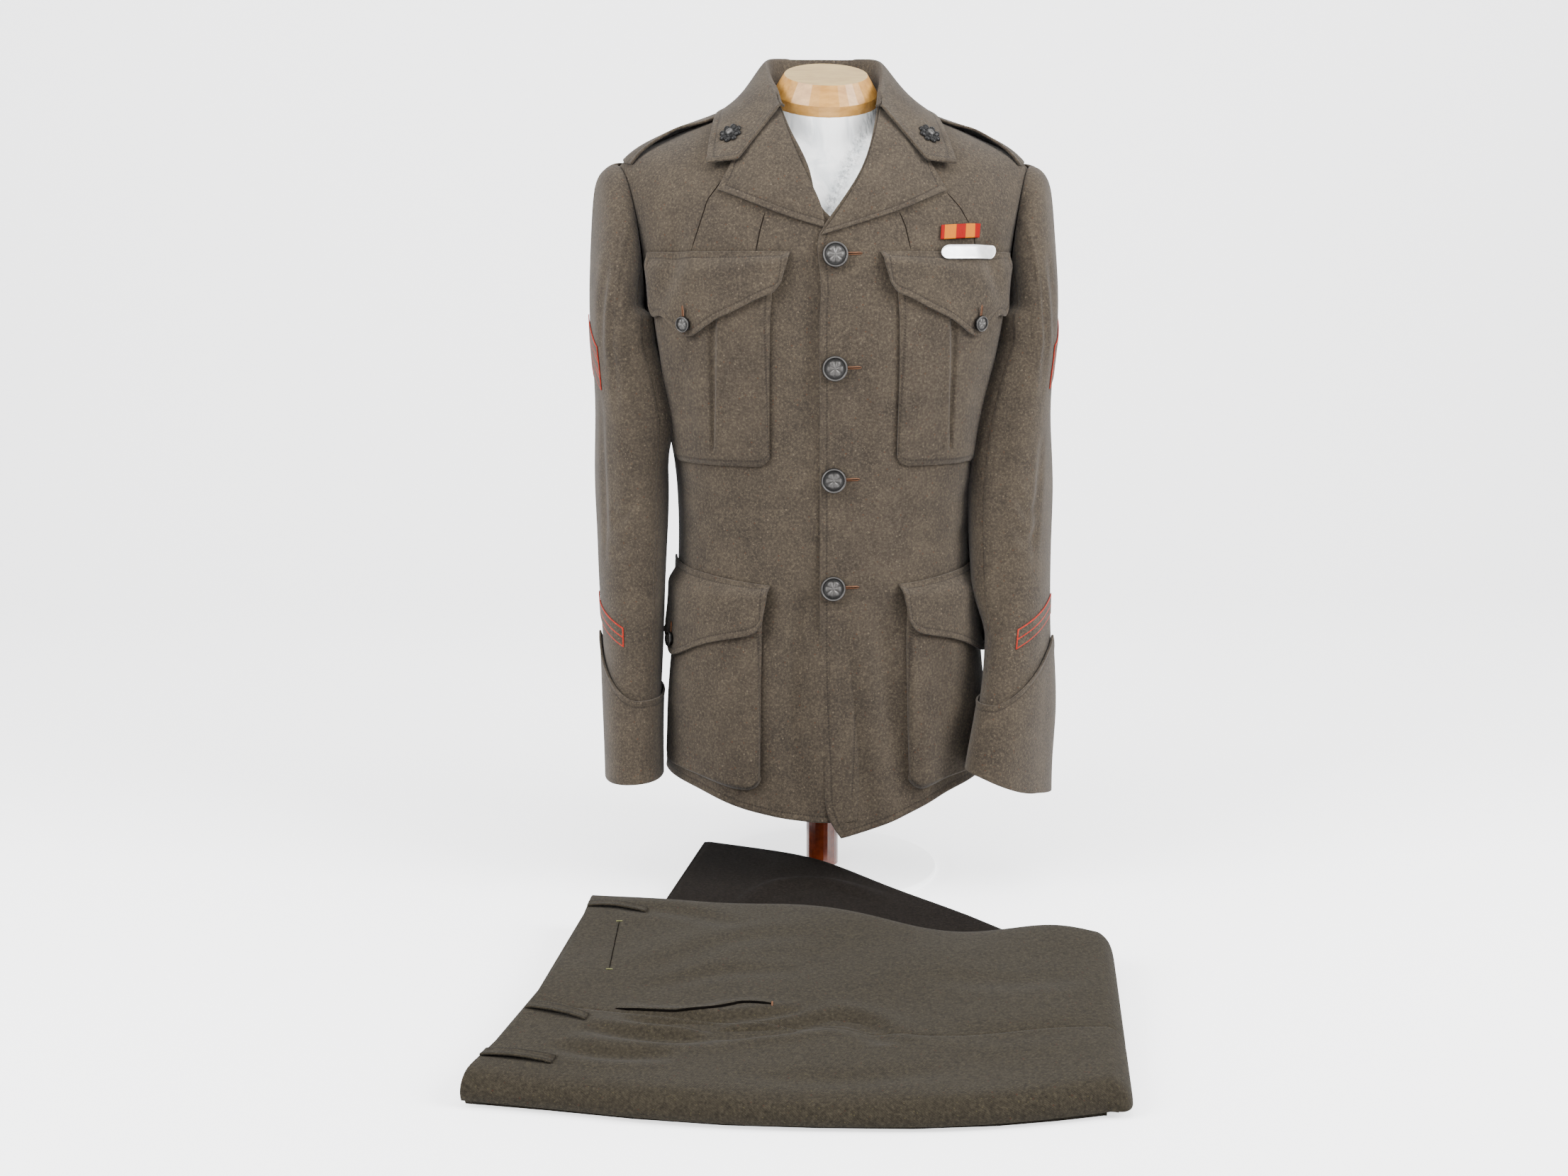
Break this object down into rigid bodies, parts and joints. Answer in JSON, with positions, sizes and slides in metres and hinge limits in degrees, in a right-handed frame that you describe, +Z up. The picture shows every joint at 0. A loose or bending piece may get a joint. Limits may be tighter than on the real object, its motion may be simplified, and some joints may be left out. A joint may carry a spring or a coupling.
{
  "type": "military uniform on a limbless dress form, with folded trousers",
  "caption": "Wool service coat with four flapped pockets on a limbless dress form and stand, its matching trousers folded flat in front.",
  "frame": {"origin": "on the floor, in the middle of the stand's round base plate, under the post", "axes": "+Z up along the post; the front of the coat and the folded trousers face -Y; the wearer's left is +X"},
  "size_m": [0.5765, 0.7966, 0.8665],
  "materials": {
    "coat_wool": "milled wool, brown-olive heather",
    "trouser_serge": "wool serge, dark olive",
    "bronze": "darkened bronze",
    "red_felt": "red felt with outline stitching",
    "ribbon": "ribbed silk, gold and red",
    "silver": "satin silver",
    "jersey": "white jersey over a light form",
    "pale_wood": "clear varnish",
    "red_varnish": "gloss varnish",
    "white_steel": "white powder coat"
  },
  "bodies": {
    "root": {"badge_bar": "silver", "belt_loop_1": "trouser_serge", "belt_loop_2": "trouser_serge", "belt_loop_3": "trouser_serge", "breast_flap_button_left": "bronze", "breast_flap_button_right": "bronze", "breast_pocket_bag_left": "coat_wool", "breast_pocket_bag_right": "coat_wool", "breast_pocket_flap_left": "coat_wool", "breast_pocket_flap_right": "coat_wool", "chevron_left": "red_felt", "chevron_right": "red_felt", "coat_back_left": "coat_wool", "coat_back_right": "coat_wool", "coat_front_left": "coat_wool", "coat_front_right": "coat_wool", "collar": "coat_wool", "collar_device_left": "bronze", "collar_device_right": "bronze", "cuff_left": "coat_wool", "cuff_right": "coat_wool", "form_neck_cap": "pale_wood", "form_torso": "jersey", "front_button_1": "bronze", "front_button_2": "bronze", "front_button_3": "bronze", "front_button_4": "bronze", "lapel_left": "coat_wool", "lapel_right": "coat_wool", "lower_flap_button_left": "bronze", "lower_flap_button_right": "bronze", "lower_pocket_bag_left": "coat_wool", "lower_pocket_bag_right": "coat_wool", "lower_pocket_flap_left": "coat_wool", "lower_pocket_flap_right": "coat_wool", "ribbon_bar": "ribbon", "service_stripe_left": "red_felt", "service_stripe_right": "red_felt", "shoulder_strap_left": "coat_wool", "shoulder_strap_right": "coat_wool", "sleeve_left_under": "coat_wool", "sleeve_left_upper": "coat_wool", "sleeve_right_under": "coat_wool", "sleeve_right_upper": "coat_wool", "stand_base": "white_steel", "stand_post": "red_varnish", "trousers_back": "trouser_serge", "trousers_folded_layers": "trouser_serge", "trousers_front": "trouser_serge", "trousers_lower_legs": "trouser_serge"}
  },
  "joints": []
}
